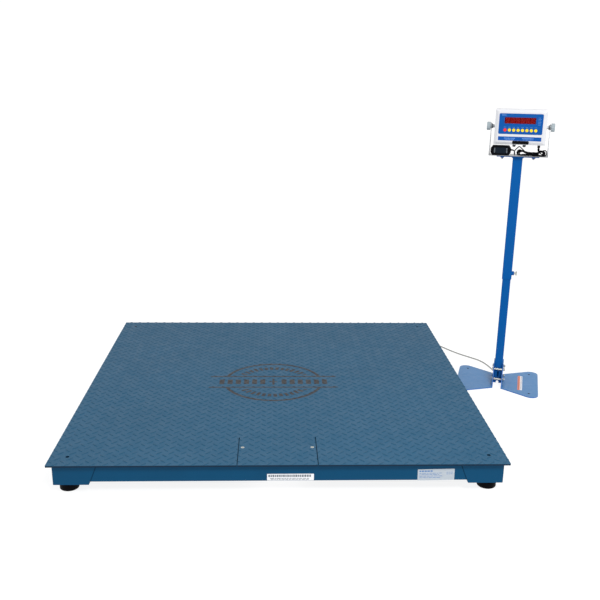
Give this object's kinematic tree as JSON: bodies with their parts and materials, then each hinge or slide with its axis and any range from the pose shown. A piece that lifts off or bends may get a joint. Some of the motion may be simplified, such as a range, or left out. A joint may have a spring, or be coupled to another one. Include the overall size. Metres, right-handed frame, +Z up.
{
  "type": "platform shipping scale",
  "caption": "Low steel floor scale with a tread-plate deck on load cells, and a separate telescopic stand with a tilting weight indicator.",
  "frame": {"origin": "bottom centre of the whole set on the floor", "axes": "+Z up; +X from the platform towards the stand, along the deck edge with the access cover; +Y from that front edge to the rear"},
  "size_m": [1.9678, 1.6445, 1.1995],
  "materials": {
    "deck_paint": "satin",
    "frame_paint": "satin",
    "post_paint": "gloss",
    "wing_paint": "satin",
    "zinc": "satin",
    "stainless": "satin",
    "cell_steel": "satin",
    "rubber_black": "matte",
    "plastic_black": "matte",
    "plastic_grey": "matte",
    "cable_grey": "satin",
    "knob_grey": "satin",
    "spacer": "matte",
    "board_green": "satin",
    "panel_blue": "satin",
    "key_red": "satin",
    "key_yellow": "satin",
    "filter_red": "gloss",
    "battery_grey": "matte",
    "nickel": "polished"
  },
  "bodies": {
    "platform": {"deck_plate": "deck_paint", "front_channel": "frame_paint", "rear_channel": "frame_paint", "side_channels": "frame_paint", "underdeck_framing": "frame_paint", "corner_pockets": "frame_paint", "load_cells": "cell_steel", "load_cell_bolts": "zinc", "junction_box": "stainless", "junction_box_lid": "stainless", "junction_box_screws": "zinc", "junction_board": "board_green", "junction_box_glands": "plastic_grey", "platform_gland": "plastic_grey", "signal_cable": "cable_grey", "base_wing_left": "wing_paint", "base_wing_right": "wing_paint", "lower_post": "post_paint", "base_bolts": "zinc", "cable_grommet": "rubber_black"},
    "cover": {"access_cover": "deck_paint", "cover_screws": "zinc"},
    "mast": {"upper_post": "post_paint", "yoke": "stainless", "yoke_bolts": "zinc", "tilt_spacers": "spacer", "power_adapter": "plastic_black", "adapter_blades": "nickel", "power_cord": "plastic_black", "cord_hank": "plastic_black"},
    "clamp_screw": {"clamp_screw": "zinc"},
    "indicator": {"indicator_housing": "stainless", "rear_cover": "stainless", "rear_cover_screws": "zinc", "key_overlay": "panel_blue", "display_window": "filter_red", "display_board": "board_green", "main_board": "board_green", "battery": "battery_grey", "indicator_glands": "plastic_grey", "power_jack": "plastic_black", "power_plug": "plastic_black"},
    "knob_left": {"knob_left": "knob_grey"},
    "knob_right": {"knob_right": "knob_grey"},
    "foot_front_left": {"foot_pad_front_left": "rubber_black"},
    "stem_front_left": {"foot_stem_front_left": "zinc"},
    "foot_front_right": {"foot_pad_front_right": "rubber_black"},
    "stem_front_right": {"foot_stem_front_right": "zinc"},
    "foot_rear_left": {"foot_pad_rear_left": "rubber_black"},
    "stem_rear_left": {"foot_stem_rear_left": "zinc"},
    "foot_rear_right": {"foot_pad_rear_right": "rubber_black"},
    "stem_rear_right": {"foot_stem_rear_right": "zinc"},
    "key_1": {"key_1": "key_red"},
    "key_2": {"key_2": "key_yellow"},
    "key_3": {"key_3": "key_yellow"},
    "key_4": {"key_4": "key_yellow"},
    "key_5": {"key_5": "key_yellow"},
    "key_6": {"key_6": "key_yellow"},
    "key_7": {"key_7": "key_yellow"},
    "key_8": {"key_8": "key_yellow"}
  },
  "joints": [
    {"name": "foot_extend_front_left", "type": "slide", "parent": "platform", "child": "foot_front_left", "axis": [0, 0, 1], "range_m": [-0.015, 0]},
    {"name": "foot_screw_front_left", "type": "hinge", "parent": "foot_front_left", "child": "stem_front_left", "pos_m": [-0.92594, -0.698, 0.05], "axis": [0, 0, 1], "range_deg": [-3090, 0]},
    {"name": "foot_extend_front_right", "type": "slide", "parent": "platform", "child": "foot_front_right", "axis": [0, 0, 1], "range_m": [-0.015, 0]},
    {"name": "foot_screw_front_right", "type": "hinge", "parent": "foot_front_right", "child": "stem_front_right", "pos_m": [0.48206, -0.698, 0.05], "axis": [0, 0, 1], "range_deg": [-3090, 0]},
    {"name": "foot_extend_rear_left", "type": "slide", "parent": "platform", "child": "foot_rear_left", "axis": [0, 0, 1], "range_m": [-0.015, 0]},
    {"name": "foot_screw_rear_left", "type": "hinge", "parent": "foot_rear_left", "child": "stem_rear_left", "pos_m": [-0.92594, 0.698, 0.05], "axis": [0, 0, 1], "range_deg": [-3090, 0]},
    {"name": "foot_extend_rear_right", "type": "slide", "parent": "platform", "child": "foot_rear_right", "axis": [0, 0, 1], "range_m": [-0.015, 0]},
    {"name": "foot_screw_rear_right", "type": "hinge", "parent": "foot_rear_right", "child": "stem_rear_right", "pos_m": [0.48206, 0.698, 0.05], "axis": [0, 0, 1], "range_deg": [-3090, 0]},
    {"name": "cover_lift", "type": "slide", "parent": "platform", "child": "cover", "axis": [0, 0, 1], "range_m": [0, 0.1]},
    {"name": "mast_height", "type": "slide", "parent": "platform", "child": "mast", "axis": [0, 0, 1], "range_m": [-0.24, 0.17]},
    {"name": "mast_clamp", "type": "hinge", "parent": "mast", "child": "clamp_screw", "pos_m": [0.80371, 0.23408, 0.508], "axis": [0.9548, -0.2974, 0], "range_deg": [0, 720]},
    {"name": "indicator_tilt", "type": "hinge", "parent": "mast", "child": "indicator", "pos_m": [0.77506, 0.243, 1.129], "axis": [-0.9548, 0.2974, 0], "range_deg": [-4, 25]},
    {"name": "knob_left_turn", "type": "hinge", "parent": "indicator", "child": "knob_left", "pos_m": [0.66049, 0.27869, 1.129], "axis": [-0.9548, 0.2974, 0], "range_deg": [0, 360]},
    {"name": "knob_right_turn", "type": "hinge", "parent": "indicator", "child": "knob_right", "pos_m": [0.88964, 0.20731, 1.129], "axis": [0.9548, -0.2974, 0], "range_deg": [0, 360]},
    {"name": "key_1_press", "type": "slide", "parent": "indicator", "child": "key_1", "axis": [0.2974, 0.9548, 0], "range_m": [0, 0.0006], "stiffness_N_per_m": 2500, "springref_m": -0.0002},
    {"name": "key_2_press", "type": "slide", "parent": "indicator", "child": "key_2", "axis": [0.2974, 0.9548, 0], "range_m": [0, 0.0006], "stiffness_N_per_m": 2500, "springref_m": -0.0002},
    {"name": "key_3_press", "type": "slide", "parent": "indicator", "child": "key_3", "axis": [0.2974, 0.9548, 0], "range_m": [0, 0.0006], "stiffness_N_per_m": 2500, "springref_m": -0.0002},
    {"name": "key_4_press", "type": "slide", "parent": "indicator", "child": "key_4", "axis": [0.2974, 0.9548, 0], "range_m": [0, 0.0006], "stiffness_N_per_m": 2500, "springref_m": -0.0002},
    {"name": "key_5_press", "type": "slide", "parent": "indicator", "child": "key_5", "axis": [0.2974, 0.9548, 0], "range_m": [0, 0.0006], "stiffness_N_per_m": 2500, "springref_m": -0.0002},
    {"name": "key_6_press", "type": "slide", "parent": "indicator", "child": "key_6", "axis": [0.2974, 0.9548, 0], "range_m": [0, 0.0006], "stiffness_N_per_m": 2500, "springref_m": -0.0002},
    {"name": "key_7_press", "type": "slide", "parent": "indicator", "child": "key_7", "axis": [0.2974, 0.9548, 0], "range_m": [0, 0.0006], "stiffness_N_per_m": 2500, "springref_m": -0.0002},
    {"name": "key_8_press", "type": "slide", "parent": "indicator", "child": "key_8", "axis": [0.2974, 0.9548, 0], "range_m": [0, 0.0006], "stiffness_N_per_m": 2500, "springref_m": -0.0002}
  ],
  "couplings": [
    {"joint": "foot_screw_front_left", "follows": "foot_extend_front_left", "rad_per_m": 3590.4},
    {"joint": "foot_screw_front_right", "follows": "foot_extend_front_right", "rad_per_m": 3590.4},
    {"joint": "foot_screw_rear_left", "follows": "foot_extend_rear_left", "rad_per_m": 3590.4},
    {"joint": "foot_screw_rear_right", "follows": "foot_extend_rear_right", "rad_per_m": 3590.4}
  ]
}
